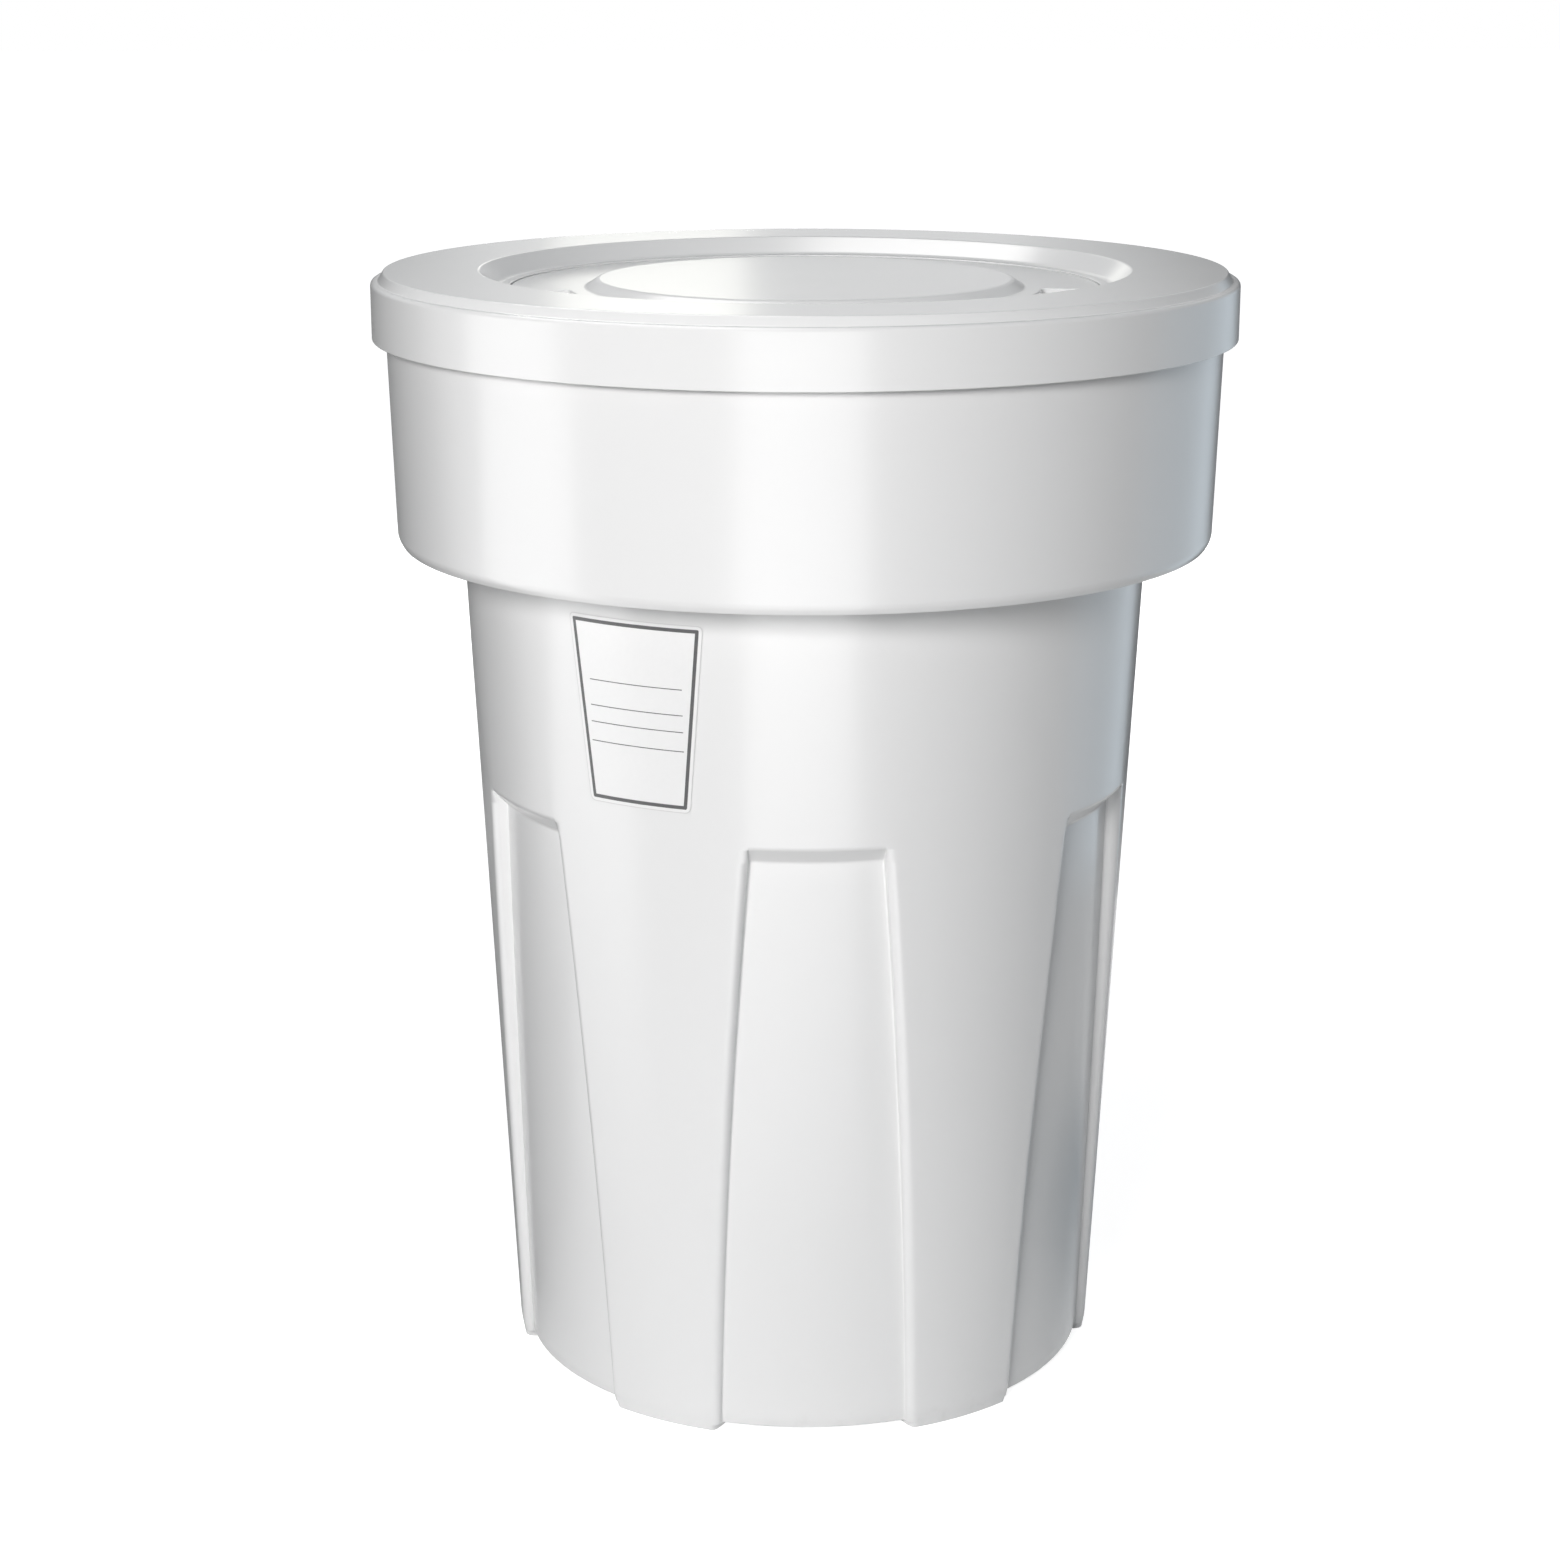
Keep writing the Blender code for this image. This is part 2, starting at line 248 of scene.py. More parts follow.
labelFilm = satinFilm("labelFilm", (0.830, 0.830, 0.828), (0.800, 0.800, 0.800), (0.30, 0.42))
# painted shade line for the film's edge, greyer than the film
labelEdgeShade = satinFilm("labelEdgeShade", (0.650, 0.650, 0.650), (0.620, 0.620, 0.620), (0.40, 0.50))
labelInk = satinFilm("labelInk", (0.090, 0.090, 0.092), (0.062, 0.062, 0.064), (0.40, 0.55))
print("materials made")


# Drum body: a turned skin whose columns are gathered at the flutes' edges and pushed in between them
drum = dict(
    baseRadius=0.2441, neckRadius=0.2769, collarHeight=0.6885, wall=0.005, floor=0.006,
    floorRings=(0.25, 0.5, 0.75), flatShare=0.76,          # shares of the base radius
    toeTaper=0.014, toeInset=0.0018, toeBend=0.040, toeCorner=0.0020, sideLow=0.029,
    # flutes stop above the ground, and ribs stand on as toes
    footLift=0.0055, footEdge=0.0012, footReach=0.028, footStep=0.0003, footRows=(0.0, 0.13, 0.5, 1.0),
    innerStep=(0.196, 0.204), innerRaise=0.0055, insideCorner=0.006,
    neckFillet=0.004, neckFade=0.012, collarOverhang=0.0523, collarFlare=0.0050,
    collarTaper=0.0058, collarInset=0.0034, collarBend=0.012, collarCorner=0.0012, collarInside=0.008,
    beadProud=0.0044, beadTop=0.8836, beadHeight=0.020, beadSlope=0.003, lipRadius=0.3288,
    beadRoundings=(0.0008, 0.0010, 0.0015, 0.0010),        # from the collar up to the lip
    fluteCount=6, fluteHeight=0.4962, fluteBaseWidth=0.157, fluteTopWidth=0.113, fluteSideBow=0.0044,
    fluteBaseDepth=0.0072, fluteTopDepth=0.012, fluteTopRun=0.0132,
    # slope of a flute's side over all, and of its steep part under the wide mouth
    fluteChord=radians(20), wallDraft=radians(3),
    mouthFillet=0.0066, footFillet=0.0014, topMouthFillet=0.006, topFootFillet=0.005, leastFillet=0.001,
    filletSteps=6, floorSteps=7, ribSteps=6, edgeBand=0.0025,
    lowRows=3, sideRows=16, neckRows=6, rimRounding=0.0012,
)
# columns from a flute's middle to a rib's
halfSector = drum["floorSteps"] + 2 * drum["filletSteps"] + 1 + drum["ribSteps"]
drumColumns = 2 * halfSector * drum["fluteCount"]
columnAngle = 2 * pi / drumColumns


def ribRadius(height):
    return drum["baseRadius"] + (drum["neckRadius"] - drum["baseRadius"]) * height / drum["collarHeight"]


def fluteShare(height):
    return min(max(height / drum["fluteHeight"], 0), 1)


def fluteHalfWidth(height):
    share = fluteShare(height)
    straight = drum["fluteBaseWidth"] + (drum["fluteTopWidth"] - drum["fluteBaseWidth"]) * share
    return straight / 2 + 4 * drum["fluteSideBow"] * share * (1 - share)


def fluteDepth(height):
    return drum["fluteBaseDepth"] + (drum["fluteTopDepth"] - drum["fluteBaseDepth"]) * fluteShare(height)


def filletWall(run, depth, outer, inner):
    # stations from the rib down to the flute's floor, both edges rounded:
    # (offset past the sharp mouth, depth)
    steps = drum["filletSteps"]
    turn = atan2(depth, run)
    stations = []
    for step in range(steps + 1):
        angle = turn * step / steps
        stations.append((outer * (tan(turn / 2) - sin(angle)), outer * (1 - cos(angle))))
    for step in range(steps, -1, -1):
        angle = turn * step / steps
        stations.append((inner * (sin(angle) - tan(turn / 2)) - run, depth - inner * (1 - cos(angle))))
    return stations


def skinFillets(wall, mouth, foot):
    # a mouth's rounding shrinks and a foot's grows on the inner side of the wall
    return max(mouth - wall, drum["leastFillet"]), foot + wall


@lru_cache(maxsize=None)
def fluteColumn(column, height, wall):
    # angle from the flute's middle and depth of one column, counted from the middle
    depth = fluteDepth(height)
    run = depth * tan(drum["wallDraft"])
    inset = depth * tan(drum["fluteChord"]) - run
    outer, inner = skinFillets(wall, drum["mouthFillet"], drum["footFillet"])
    stations = filletWall(run, depth, outer, inner)[::-1]
    halfWidth = fluteHalfWidth(height) - inset + wall * wallShift(run, depth)
    radius = ribRadius(height) - wall
    count = abs(column)
    firstWall = drum["floorSteps"]
    lastWall = firstWall + len(stations) - 1
    footAngle = asin((halfWidth + stations[0][0]) / radius)
    mouthAngle = asin((halfWidth + stations[-1][0]) / radius)
    band = drum["edgeBand"] / radius
    if count < firstWall:
        angle = (footAngle - band) * count / (firstWall - 1)
    elif count <= lastWall:
        offset, depth = stations[count - firstWall]
        angle = asin((halfWidth + offset) / radius)
    else:
        ribEnd = pi / drum["fluteCount"]
        share = (count - lastWall - 1) / (drum["ribSteps"] - 1)
        angle = mouthAngle + band + (ribEnd - mouthAngle - band) * share
        depth = 0.0
    return angle if column >= 0 else -angle, depth


@lru_cache(maxsize=None)
def topStations(wall):
    # heights and depth shares of the rows that close a flute at its top
    outer, inner = skinFillets(wall, drum["topMouthFillet"], drum["topFootFillet"])
    depth = drum["fluteTopDepth"]
    lift = wall * wallShift(drum["fluteTopRun"], depth)
    stations = filletWall(drum["fluteTopRun"], depth, outer, inner)[::-1]
    return [(drum["fluteHeight"] + lift + offset, deep / depth) for offset, deep in stations]


def topShare(height, wall):
    stations = topStations(wall)
    if height <= stations[0][0]:
        return 1.0
    for (low, lowShare), (high, highShare) in zip(stations, stations[1:]):
        if height <= high + mergeDistance:
            return lowShare + (highShare - lowShare) * (height - low) / (high - low)
    return 0.0


def footShift(height, wall):
    # how far a flute's floor is set in under the drum at a height, past the small rounding of its foot
    low, edge = drum["footLift"], drum["footEdge"]
    if wall:
        return 0.0
    if height < low - mergeDistance:
        return drum["footReach"]
    rise = max(low + edge - height, 0.0)
    return edge - max(edge * edge - rise * rise, 0.0) ** 0.5


def evenly(start, end, count):
    return [start + (end - start) * (step + 1) / (count + 1) for step in range(count)]


def drumProfile(wall):
    # one skin of the drum from its floor's middle to its rim, set in by the wall
    bottom = drum["floor"] if wall else 0.0
    stations = topStations(wall)
    lowEnd, highEnd = stations[0][0] - drum["edgeBand"], stations[-1][0] + drum["edgeBand"]
    underside = drum["collarHeight"] + wall
    sideLow = drum["sideLow"]
    heights = evenly(sideLow, lowEnd, drum["sideRows"]) + [lowEnd]
    heights += [height for height, share in stations] + [highEnd]
    heights += evenly(highEnd, underside, drum["neckRows"])
    collarLow = drum["neckRadius"] + drum["collarOverhang"]
    collarTop = collarLow + drum["collarFlare"]
    beadRadius = collarTop + drum["beadProud"]
    beadBase = drum["beadTop"] - drum["beadHeight"]
    beadLift = wall * wallShift(drum["beadSlope"], drum["beadProud"])
    beadDrop = wall * wallShift(drum["beadSlope"], beadRadius - drum["lipRadius"])
    profile = [(0.0, bottom, 0.0)]
    profile += [(drum["baseRadius"] * share, bottom, 0.0) for share in drum["floorRings"]]
    if wall:
        raised = bottom + drum["innerRaise"]
        profile.append((drum["innerStep"][0], bottom, drum["neckFillet"]))
        profile.append((drum["innerStep"][1], raised, drum["neckFillet"]))
        profile.append((ribRadius(raised) - wall, raised, drum["insideCorner"]))
        heights = evenly(raised + drum["insideCorner"], sideLow, drum["lowRows"]) + [sideLow] + heights
        collarFoot = [(collarLow - wall, underside, drum["collarInside"])]
    else:
        taper, lift, edge = drum["toeTaper"], drum["footLift"], drum["footEdge"]
        toe, knee = (ribRadius(bottom) - drum["toeInset"], bottom), (ribRadius(taper), taper)
        bend = cornerReach(toe, knee, (ribRadius(sideLow), sideLow), drum["toeBend"])
        profile.append((*toe, drum["toeCorner"]))
        for height in [lift - drum["footStep"]] + [lift + share * edge for share in drum["footRows"]]:
            profile.append((toe[0] + (knee[0] - toe[0]) * height / taper, height, 0.0))
        profile.append((*knee, drum["toeBend"]))
        heights = evenly(taper + bend, sideLow, drum["lowRows"]) + [sideLow] + heights
        collarFoot = [
            (collarLow - drum["collarInset"], underside, drum["collarCorner"]),
            (collarLow, underside + drum["collarTaper"], drum["collarBend"]),
        ]
    profile += [(ribRadius(height) - wall, height, 0.0) for height in heights]
    collarEdge, beadFoot, beadHead, lipFoot = drum["beadRoundings"]
    profile += [
        (drum["neckRadius"] - wall, underside, drum["neckFillet"] + wall),
        *collarFoot,
        (collarTop - wall, beadBase - drum["beadSlope"] + beadLift, collarEdge),
        (beadRadius - wall, beadBase + beadLift, beadFoot),
        (beadRadius - wall, drum["beadTop"] - beadDrop, beadHead),
        (drum["lipRadius"] - wall, drum["beadTop"] + drum["beadSlope"] - beadDrop, lipFoot),
        (drum["lipRadius"] - wall, rimHeight, 0.0),
    ]
    return profile


def pushFlutes(verts, wall):
    # gather the even columns at the flutes' edges and push the floors in,
    # fading to even columns at the neck
    fadeLow = topStations(wall)[-1][0]
    fadeHigh = drum["collarHeight"] - drum["neckFillet"] - drum["neckFade"]
    flatRadius = drum["baseRadius"] * drum["flatShare"]
    for vert in verts:
        radius, height = hypot(vert.co.x, vert.co.y), vert.co.z
        if height >= fadeHigh or radius < flatRadius:
            continue
        column = round((atan2(vert.co.y, vert.co.x) - front) / columnAngle)
        flute, inSector = divmod(column + halfSector, 2 * halfSector)
        angle, depth = fluteColumn(inSector - halfSector, height, wall)
        even = (inSector - halfSector) * columnAngle
        share = min(max((height - fadeLow) / (fadeHigh - fadeLow), 0), 1)
        angle += (even - angle) * share
        radius -= depth * topShare(height, wall) + footShift(height, wall) * depth / fluteDepth(height)
        angle += front + flute * 2 * pi / drum["fluteCount"]
        vert.co = (radius * cos(angle), radius * sin(angle), height)


def makeDrumShell():
    bm = bmesh.new()
    for wall in (0.0, drum["wall"]):
        skin = spinProfile(bm, drumProfile(wall), front, drumColumns, closed=False, segments=5)
        pushFlutes(skin, wall)
        faces = list({face for vert in skin for face in vert.link_faces})
        bmesh.ops.recalc_face_normals(bm, faces=faces)
        if wall:
            bmesh.ops.reverse_faces(bm, faces=faces)    # the inner skin looks into the drum
    rims = [edge for edge in bm.edges if edge.is_boundary]
    bmesh.ops.bridge_loops(bm, edges=rims)
    bevel(bm, rims, "EDGES", drum["rimRounding"], segments=3)
    return addPiece("drumShell", bm, [drumWhite], "drum", "drum_body")


drumShell = makeDrumShell()
print("drum shell:", len(drumShell.data.polygons), "faces")


# Lid ring: one turned profile, every edge rounded
lid = dict(
    wall=0.005, skirtInside=0.3400, skirtDrop=0.0008, shoulder=0.8963,
    stepRadius=0.3390, annulusRadius=0.3350, recessRadius=0.2594,
    ledgeRadius=0.2456, ledge=0.8894, seatRadius=0.2362, seat=0.8841, holeRadius=0.2270,
    annulusRounding=0.0016, stepRounding=0.0012, shoulderRounding=0.0032, hemRounding=0.0009,
    lipRounding=0.0030, footRounding=0.0060, seatRounding=0.0007, steps=288,
)


def makeLidRing():
    back = lidTop - lid["wall"]
    underside = lid["seat"] - lid["wall"]
    hem = skirtBottom - lid["skirtDrop"]
    stepShift = lid["wall"] * wallShift(lid["stepRadius"] - lid["annulusRadius"], lidTop - lid["shoulder"])
    recessRun, recessDepth = lid["recessRadius"] - lid["ledgeRadius"], lidTop - lid["ledge"]
    backRadius = lid["recessRadius"] + lid["wall"] * wallShift(recessRun, recessDepth)
    profile = [
        (lid["recessRadius"], lidTop, lid["lipRounding"]),
        (lid["annulusRadius"], lidTop, lid["annulusRounding"]),
        (lid["stepRadius"], lid["shoulder"], lid["stepRounding"]),
        (lidRadius, lid["shoulder"], lid["shoulderRounding"]),
        (lidRadius, hem, lid["hemRounding"]),
        (lid["skirtInside"], hem, lid["hemRounding"]),
        (lid["skirtInside"], lid["shoulder"] - lid["wall"], lid["hemRounding"]),
        (lid["stepRadius"] - stepShift, lid["shoulder"] - lid["wall"], lid["stepRounding"]),
        (lid["annulusRadius"] - stepShift, back, lid["stepRounding"]),
        (backRadius, back, lid["lipRounding"]),
        (backRadius - (back - underside) * recessRun / recessDepth, underside, lid["lipRounding"]),
        (lid["holeRadius"], underside, lid["seatRounding"]),
        (lid["holeRadius"], lid["seat"], lid["seatRounding"]),
        (lid["seatRadius"], lid["seat"], lid["seatRounding"]),
        (lid["seatRadius"], lid["ledge"], lid["seatRounding"]),
        (lid["ledgeRadius"], lid["ledge"], lid["footRounding"]),
    ]
    bm = bmesh.new()
    spinProfile(bm, profile, front, lid["steps"])
    return addPiece("lidRing", bm, [lidWhite], "lid", "lid_ring")


lidRing = makeLidRing()
print("lid ring:", len(lidRing.data.polygons), "faces")


# Seal: a soft ring under the lid
seal = dict(width=0.011, rounding=0.0011, steps=240)


def makeSeal():
    low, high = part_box("lid_seal")
    inside = high.x - seal["width"]
    profile = [
        (inside, high.z, seal["rounding"]),
        (high.x, high.z, seal["rounding"]),
        (high.x, low.z, seal["rounding"]),
        (inside, low.z, seal["rounding"]),
    ]
    bm = bmesh.new()
    spinProfile(bm, profile, front, seal["steps"])
    return addPiece("lidSeal", bm, [sealRubber], "lid", "lid_seal")


lidSeal = makeSeal()
print("seal:", len(lidSeal.data.polygons), "faces")


# Centre panel: a turned plate with a raised middle, and two finger slots pressed down through it
panel = dict(
    # the rim lies a little under the lid's ledge, which draws the seam
    thickness=0.0042, bossHeight=0.0066,
    bossTopRadius=0.1655, bossBaseRadius=0.1755,
    slotInner=0.1893, slotOuter=0.2205, slotWall=0.004, slotDepth=0.014,
    slotBack=8.5, slotFront=42.5,      # degrees from the X axis towards the front
    blockSpread=1.0, edgeReach=0.001, sharpEdge=radians(45),
    bossTopRounding=0.008, bossBaseRounding=0.004, edgeRounding=0.0008,
    slotCorner=0.0032, slotRim=0.0012, slotFoot=0.0025, blockEdge=0.0018,
    columns=360,
)


def slotFaces(bm, height, inner, outer, spread):
    # faces at one level that lie over the two slots, which mirror each other across the front
    found = []
    for face in bm.faces:
        centre = face.calc_center_median()
        across = abs(centre.x)
        below = -atan2(centre.y, across) * 180 / pi
        inRing = inner < hypot(centre.x, centre.y) < outer
        inArc = panel["slotBack"] - spread < below < panel["slotFront"] + spread
        if abs(centre.z - height) < mergeDistance and inRing and inArc:
            found.append(face)
    return found


def pressDown(bm, faces, drop):
    grown = bmesh.ops.extrude_face_region(bm, geom=faces)["geom"]
    bmesh.ops.delete(bm, geom=faces, context="FACES")
    floor = [item for item in grown if isinstance(item, bmesh.types.BMFace)]
    bmesh.ops.translate(bm, verts=list({vert for face in floor for vert in face.verts}), vec=(0, 0, -drop))


def roundSlots(bm, low, high, reach, rounding, segments):
    # bevel the sharp edges round the slots that run from one level to the other
    edges = []
    for edge in bm.edges:
        ends = sorted(vert.co.z for vert in edge.verts)
        middle = (edge.verts[0].co + edge.verts[1].co) / 2
        inRing = panel["slotInner"] - reach < hypot(middle.x, middle.y) < panel["slotOuter"] + reach
        atLevels = abs(ends[0] - low) < mergeDistance and abs(ends[1] - high) < mergeDistance
        if inRing and atLevels and edge.calc_face_angle(0) > panel["sharpEdge"]:
            edges.append(edge)
    bevel(bm, edges, "EDGES", rounding, segments)


def makeCentrePanel():
    top = panelTop - panel["bossHeight"]
    back = top - panel["thickness"]
    bossRun = panel["bossBaseRadius"] - panel["bossTopRadius"]
    bossShift = panel["thickness"] * wallShift(bossRun, panel["bossHeight"])
    inner, outer, wall = panel["slotInner"], panel["slotOuter"], panel["slotWall"]
    profile = [
        (0.0, panelTop, 0.0),
        (panel["bossTopRadius"] / 2, panelTop, 0.0),
        (panel["bossTopRadius"], panelTop, panel["bossTopRounding"]),
        (panel["bossBaseRadius"], top, panel["bossBaseRounding"]),
        (inner, top, 0.0),
        (outer, top, 0.0),
        (panelRadius, top, panel["edgeRounding"]),
        (panelRadius, back, panel["edgeRounding"]),
        (outer + wall, back, 0.0),
        (inner - wall, back, 0.0),
        (panel["bossBaseRadius"] - bossShift, back, 0.0),
        (panel["bossTopRadius"] - bossShift, back + panel["bossHeight"], panel["bossBaseRounding"]),
        (0.0, back + panel["bossHeight"], 0.0),
    ]
    bm = bmesh.new()
    halfColumn = pi / panel["columns"]
    spinProfile(bm, profile, -halfColumn, panel["columns"], closed=False)
    bmesh.ops.recalc_face_normals(bm, faces=bm.faces)
    pressDown(bm, slotFaces(bm, top, inner, outer, 0.0), panel["slotDepth"])
    block = slotFaces(bm, back, inner - wall, outer + wall, panel["blockSpread"])
    pressDown(bm, block, panel["slotDepth"] + wall - panel["thickness"])
    floor = top - panel["slotDepth"]
    underside = floor - wall
    near = panel["edgeReach"]
    far = wall + near
    roundSlots(bm, floor, top, near, panel["slotCorner"], 4)
    roundSlots(bm, floor, floor, near, panel["slotFoot"], 3)
    roundSlots(bm, top, top, near, panel["slotRim"], 3)
    roundSlots(bm, underside, back, far, panel["slotCorner"], 4)
    roundSlots(bm, underside, underside, far, panel["blockEdge"], 3)
    roundSlots(bm, back, back, far, panel["blockEdge"], 3)
    return addPiece("centrePanel", bm, [lidWhite], "panel", "centre_panel")


centrePanel = makeCentrePanel()
print("centre panel:", len(centrePanel.data.polygons), "faces")


# Label: a film wrapped on the rib left of the front flute, with a printed border and plain ruled lines
label = dict(
    topWidth=0.1166, baseWidth=0.0874, lift=0.0003, thickness=0.0003, corner=0.0040,
    edgeShadeWidth=0.0006, margin=0.0030, border=0.0028, borderCorner=0.0013,
    inkDepth=0.00004, inkGap=0.00001, fineMerge=1e-7, strips=24,
    ruleWidth=0.080, ruleWeight=0.0007,
    rules=(0.0500, 0.0700, 0.0830, 0.0980),     # down from the top edge
)


def trapezoid(bm, height, margin, corner):
    # the label's flat outline set in by a margin, with rounded corners
    slope = (label["topWidth"] - label["baseWidth"]) / 2 / height
    side = margin * hypot(1, slope)
    outline = []
    for level in (margin, height - margin):
        half = label["topWidth"] / 2 - slope * level - side
        outline.append([(-half, -level, 0.0), (half, -level, 0.0)])
    verts = [bm.verts.new(place) for place in outline[0] + outline[1][::-1]]
    for pair in zip(verts, verts[1:] + verts[:1]):
        bm.edges.new(pair)
    if corner:
        bevel(bm, verts, "VERTICES", corner, segments=4)


def looseEdges(bm):
    return [edge for edge in bm.edges if edge.is_wire]


def thicken(bm, faces, base, depth):
    # lift a flat layer to its base and give it its depth
    bmesh.ops.translate(bm, verts=list({vert for face in faces for vert in face.verts}), vec=(0, 0, base))
    grown = bmesh.ops.extrude_face_region(bm, geom=faces)["geom"]
    upper = [item for item in grown if isinstance(item, bmesh.types.BMVert)]
    bmesh.ops.translate(bm, verts=upper, vec=(0, 0, depth))


def makeLabel():
    low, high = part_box("body_label")
    height = high.z - low.z
    bm = bmesh.new()
    trapezoid(bm, height, 0.0, label["corner"])
    sheet = bmesh.ops.contextual_create(bm, geom=looseEdges(bm))["faces"]
    thicken(bm, sheet, 0.0, label["thickness"])
    printed = label["thickness"] + label["inkGap"]
    # painted shade: a grey ring along the film's cut edge stands for the shadow line at the film's edge
    trapezoid(bm, height, 0.0, label["corner"])
    trapezoid(bm, height, label["edgeShadeWidth"], label["corner"])
    cut = bmesh.ops.bridge_loops(bm, edges=looseEdges(bm))["faces"]
    for face in cut:
        face.material_index = 2     # labelEdgeShade
    thicken(bm, cut, printed, label["inkDepth"])
    trapezoid(bm, height, label["margin"], label["borderCorner"])
    trapezoid(bm, height, label["margin"] + label["border"], 0.0)
    ink = bmesh.ops.bridge_loops(bm, edges=looseEdges(bm))["faces"]
    for drop in label["rules"]:
        rule = bmesh.ops.create_grid(bm, x_segments=1, y_segments=1, size=0.5)["verts"]
        bmesh.ops.scale(bm, verts=rule, vec=(label["ruleWidth"], label["ruleWeight"], 1.0))
        bmesh.ops.translate(bm, verts=rule, vec=(0, -drop, 0))
        ink += list({face for vert in rule for face in vert.link_faces})
    for face in ink:
        face.material_index = 1     # labelInk
    thicken(bm, ink, printed, label["inkDepth"])
    bmesh.ops.recalc_face_normals(bm, faces=bm.faces)
    for across in evenly(-label["topWidth"] / 2, label["topWidth"] / 2, label["strips"] - 1):
        bmesh.ops.bisect_plane(bm, geom=bm.verts[:] + bm.edges[:] + bm.faces[:], dist=label["fineMerge"],
                               plane_co=(across, 0, 0), plane_no=(1, 0, 0))
    middle = front - pi / drum["fluteCount"]
    for vert in bm.verts:
        level = high.z + vert.co.y
        rib = ribRadius(level)
        angle = middle + vert.co.x / rib
        radius = rib + label["lift"] + vert.co.z
        vert.co = (radius * cos(angle), radius * sin(angle), level)
    films = [labelFilm, labelInk, labelEdgeShade]
    return addPiece("bodyLabel", bm, films, "drum", "body_label", merge=label["fineMerge"])


bodyLabel = makeLabel()
print("label:", len(bodyLabel.data.polygons), "faces")


# Stage: a pale floor that keeps the shadow, a white surround, cards for the edges and soft studio lamps
stage = dict(
    floorSize=60.0, surround=(0.240, 0.253, 0.265),
    # painted pool of light: the floor is paler in front, so it throws more light back up at the object
    paintedLightPool=0.75, farShade=0.36, paintedLightPoolPlace=(-0.10, -0.60, 0.0), paintedLightPoolReach=(0.35, 0.85),
    # the floor's own white, less of it near the object
    glow=(0.84, 0.97), glowReach=(0.6, 4.0),
)


def seenDirectly(tree):
    # 1 for rays that show the background: camera, glossy and transmission rays
    rays = tree.nodes.new("ShaderNodeLightPath").outputs
    seen = maths(tree, "MAXIMUM", rays["Is Camera Ray"], rays["Is Glossy Ray"])
    return maths(tree, "MAXIMUM", seen, rays["Is Transmission Ray"])


def addStagePlane(name, width, height, material):
    bm = bmesh.new()
    corners = bmesh.ops.create_grid(bm, x_segments=1, y_segments=1, size=0.5)["verts"]
    bmesh.ops.scale(bm, verts=corners, vec=(width, height, 1.0))
    mesh = bpy.data.meshes.new(name)
    bm.to_mesh(mesh)
    bm.free()
    mesh.materials.append(material)
    plane = bpy.data.objects.new(name, mesh)
    bpy.context.scene.collection.objects.link(plane)
    return plane


def distanceFrom(tree, place, centre):
    node = tree.nodes.new("ShaderNodeVectorMath")
    node.operation = "DISTANCE"
    node.inputs[1].default_value = centre
    tree.links.new(place, node.inputs[0])
    return node.outputs["Value"]


def makeFloor():
    material, tree, shader, place = newMaterial("studioFloor")
    # painted pool of light: the floor's colour is paler in front of the object
    away = mapRange(tree, distanceFrom(tree, place, stage["paintedLightPoolPlace"]), *stage["paintedLightPoolReach"], 0.0, 1.0)
    shade = mixColour(tree, away, (stage["paintedLightPool"],) * 3, (stage["farShade"],) * 3)
    tree.links.new(shade, shader.inputs["Base Color"])
    shader.inputs["Roughness"].default_value = mattRoughness
    shader.inputs["Specular IOR Level"].default_value = 0.0
    shader.inputs["Emission Color"].default_value = (1.0, 1.0, 1.0, 1.0)
    fromDrum = distanceFrom(tree, place, (0.0, 0.0, 0.0))
    glow = mapRange(tree, fromDrum, *stage["glowReach"], *stage["glow"])
    shown = maths(tree, "MULTIPLY", glow, seenDirectly(tree))
    tree.links.new(shown, shader.inputs["Emission Strength"])
    addStagePlane("studioFloor", stage["floorSize"], stage["floorSize"], material)


def makeSurround():
    world = bpy.data.worlds.new("studioSurround")
    world.use_nodes = True
    tree = world.node_tree
    background = tree.nodes["Background"]
    shade = mixColour(tree, seenDirectly(tree), stage["surround"], (1.0, 1.0, 1.0))
    tree.links.new(shade, background.inputs["Color"])
    bpy.context.scene.world = world


# Cards stand and lie behind at the sides and only show in reflections: dark sheets that paint grey
# reflections, so that the white sides end in grey
cards = dict(
    leftCard=dict(place=(-0.85, 0.80, 0.56), size=(1.60, 1.40), turn=(pi / 2, 0.0, radians(48))),
    leftFlag=dict(place=(-0.72, 0.62, 0.002), size=(1.45, 1.75), turn=(0.0, 0.0, 0.0)),
    rightCard=dict(place=(0.66, 1.12, 0.58), size=(0.90, 1.44), turn=(pi / 2, 0.0, radians(-37))),
    # painted reflection: a paler, bluish-grey sheet
    rightFlag=dict(place=(0.48, 0.12, 0.002), size=(0.70, 0.80), turn=(0.0, 0.0, 0.0),
                   shade=(0.62, 0.70, 0.76)),
)
cardLook = dict(softEdge=0.30, grainScale=8.0, grainDetail=2.0, paler=1.1)


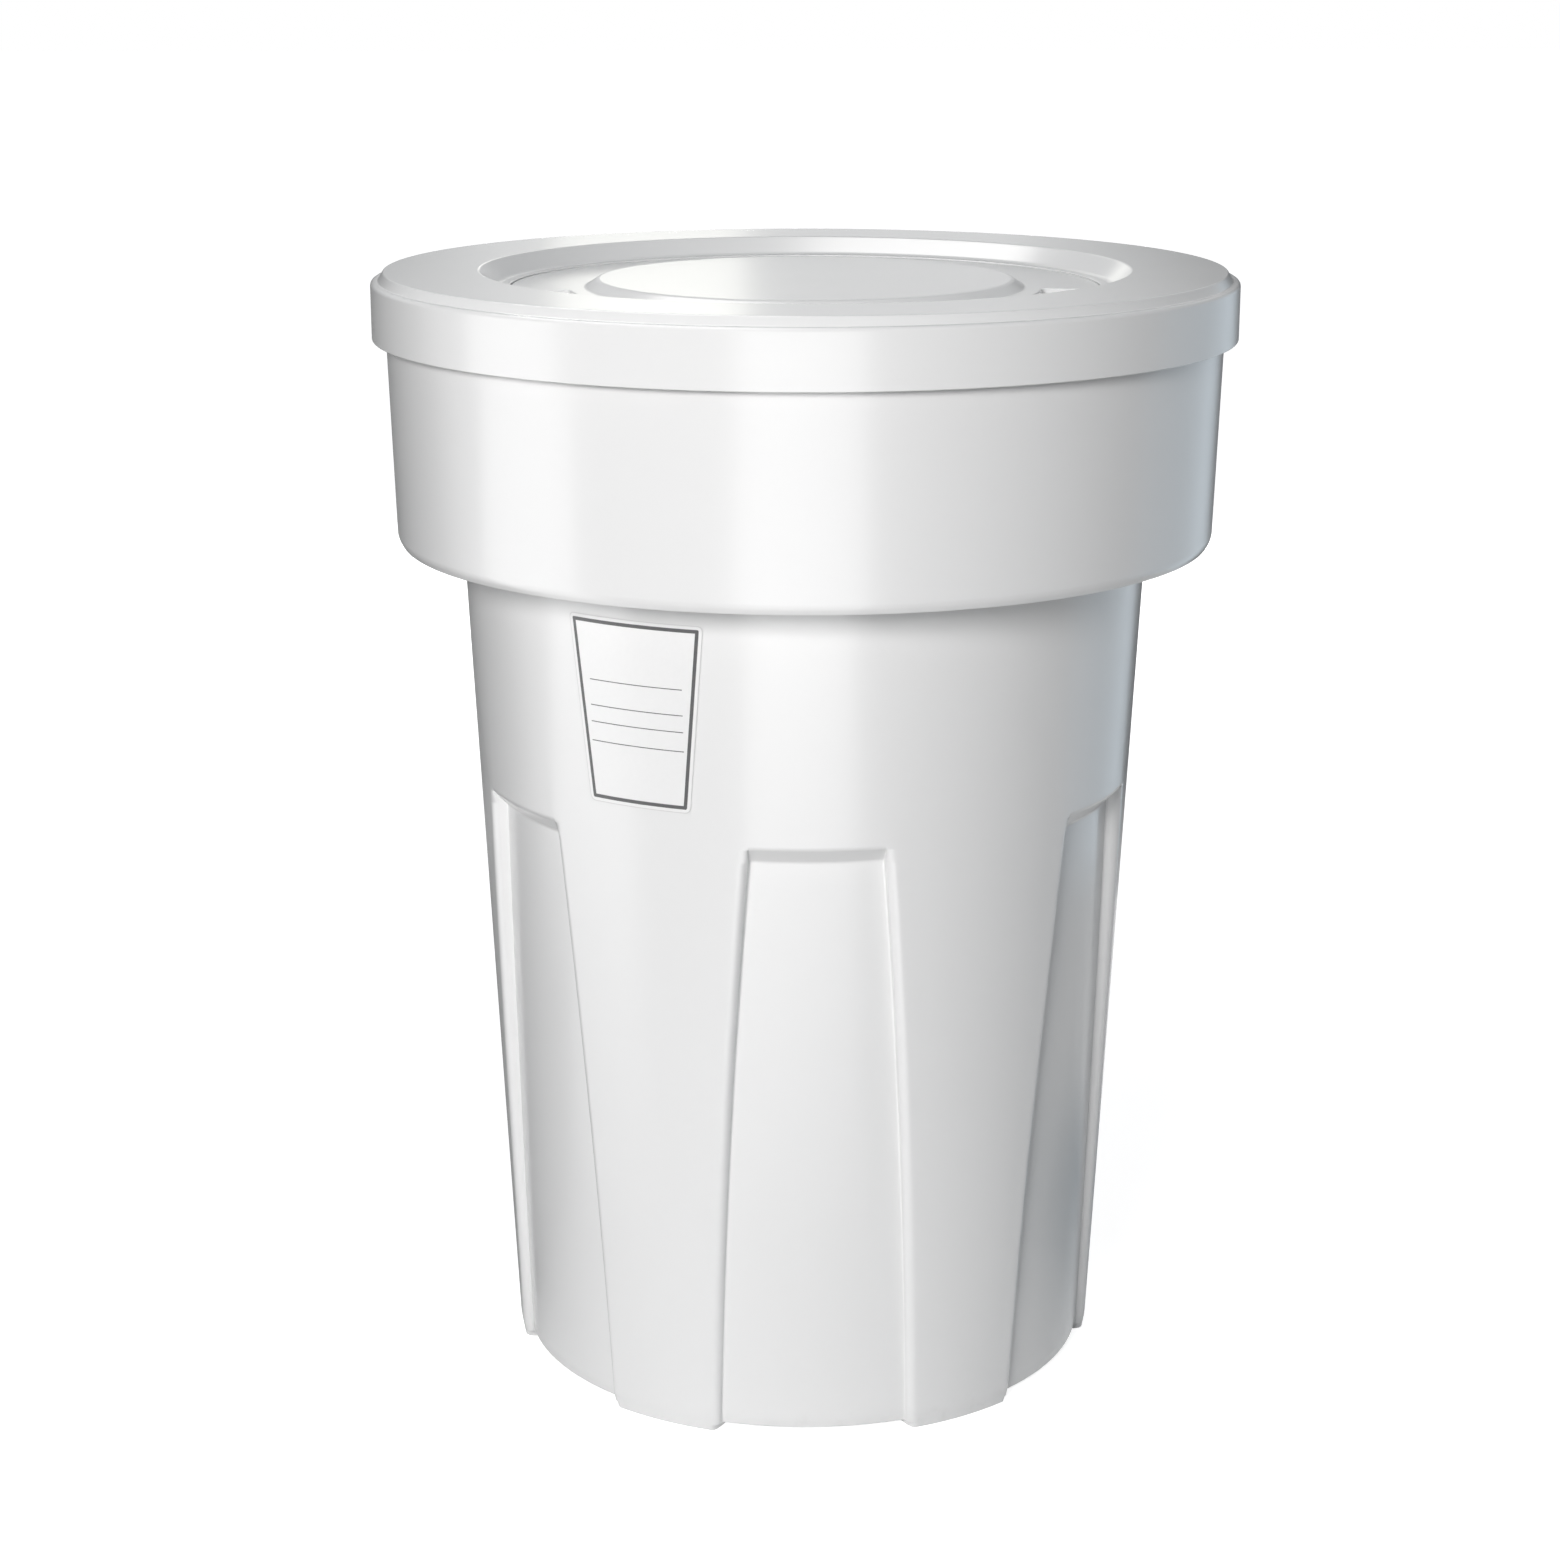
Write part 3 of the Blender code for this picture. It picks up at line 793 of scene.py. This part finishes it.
def addReflectionCard(name, place, size, turn, shade=(0.10, 0.10, 0.10)):
    # the card's colour shows only in glossy rays, as a painted reflection
    material, tree, shader, coords = newMaterial(name)
    grain = noise(tree, coords, cardLook["grainScale"], cardLook["grainDetail"])
    paler = tuple(cardLook["paler"] * part for part in shade)
    tree.links.new(mixColour(tree, grain, shade, paler), shader.inputs["Base Color"])
    shader.inputs["Roughness"].default_value = mattRoughness
    covers = []
    for axis, width in zip(axes(tree, coords), size):
        fromMiddle = maths(tree, "ABSOLUTE", axis)
        covers.append(mapRange(tree, fromMiddle, width / 2 - cardLook["softEdge"], width / 2, 1.0, 0.0))
    tree.links.new(maths(tree, "MULTIPLY", *covers), shader.inputs["Alpha"])
    card = addStagePlane(name, *size, material)
    card.location = place
    card.rotation_euler = turn
    card.visible_camera = False
    card.visible_diffuse = False
    card.visible_shadow = False


# Lamps: strips only add highlights and soft lamps only light the surfaces
lamps = dict(
    keyLamp=dict(place=(-1.28, -3.50, 1.95), target=(0, 0, 0.50), size=(1.4, 1.1),
                 power=111.0, kind="soft", colour=(1.0, 0.988, 0.980)),
    backLamp=dict(place=(0.20, 3.80, 1.00), target=(0, 0, 0.50), size=(1.4, 1.1),
                  power=70.0, kind="soft"),
    leftStrip=dict(place=(-0.530, -0.259, 0.48), target=(0, 0, 0.645), size=(0.30, 0.96),
                   power=2.4, kind="strip", fade=(0.0, 0.56)),
    frontStrip=dict(place=(-0.030, -0.589, 0.48), target=(0, 0, 0.645), size=(0.30, 0.96),
                    power=2.65, kind="strip", fade=(0.0, 0.56)),
    rightStrip=dict(place=(1.26, 0.62, 0.55), target=(0, 0, 0.55), size=(1.30, 1.10),
                    power=2.6, kind="strip", colour=(0.48, 0.77, 1.0)),
    backStrip=dict(place=(-0.14, 2.60, 1.75), target=(0, 0, 0.90), size=(0.32, 1.20),
                   power=1.45, kind="strip", colour=(1.0, 1.0, 0.92)),
    topStrip=dict(place=(-0.84, 0.21, 2.85), target=(-0.84, 0.21, 0), size=(1.2, 2.6),
                  power=62.0, kind="strip", colour=(1.0, 0.985, 0.97), roll=radians(35)),
)


def fadeDown(lamp, low, high):
    # let a strip's glow rise from nothing at one share of its height to full at another
    lamp.use_nodes = True
    tree = lamp.node_tree
    across = tree.nodes.new("ShaderNodeNewGeometry").outputs["Parametric"]
    glow = mapRange(tree, axes(tree, across)["Y"], low, high, 0.0, 1.0)
    tree.links.new(glow, tree.nodes["Emission"].inputs["Strength"])


def addLamp(name, place, target, size, power, kind, colour=(1.0, 1.0, 1.0), roll=0.0, fade=None):
    lamp = bpy.data.lights.new(name, "AREA")
    lamp.shape = "RECTANGLE"
    lamp.size, lamp.size_y = size
    lamp.energy = power
    lamp.color = colour
    if fade:
        fadeDown(lamp, *fade)
    holder = bpy.data.objects.new(name, lamp)
    holder.location = place
    holder.rotation_euler = (Vector(target) - Vector(place)).to_track_quat("-Z", "Y").to_euler()
    holder.rotation_euler.rotate_axis("Z", roll)
    holder.visible_camera = False
    holder.visible_diffuse = kind != "strip"
    holder.visible_glossy = kind != "soft"
    bpy.context.scene.collection.objects.link(holder)


makeFloor()
makeSurround()
for name, look in cards.items():
    addReflectionCard(name, **look)
for name, look in lamps.items():
    addLamp(name, **look)
print("stage set:", len(cards), "cards,", len(lamps), "lamps")


# Camera: matched to the photograph's outline
camera = dict(lens=72.66, sensor=36.0, place=(-0.0996, -2.5339, 1.1617), pitch=0.2632, turn=radians(-1.8))


def makeCamera():
    data = bpy.data.cameras.new("camera")
    data.lens = camera["lens"]
    data.sensor_width = camera["sensor"]
    data.sensor_fit = "AUTO"
    holder = bpy.data.objects.new("camera", data)
    holder.location = camera["place"]
    holder.rotation_euler = (pi / 2 - camera["pitch"], 0.0, camera["turn"])
    bpy.context.scene.collection.objects.link(holder)
    bpy.context.scene.camera = holder


makeCamera()
bpy.context.scene.view_settings.view_transform = "Standard"
print("camera set")
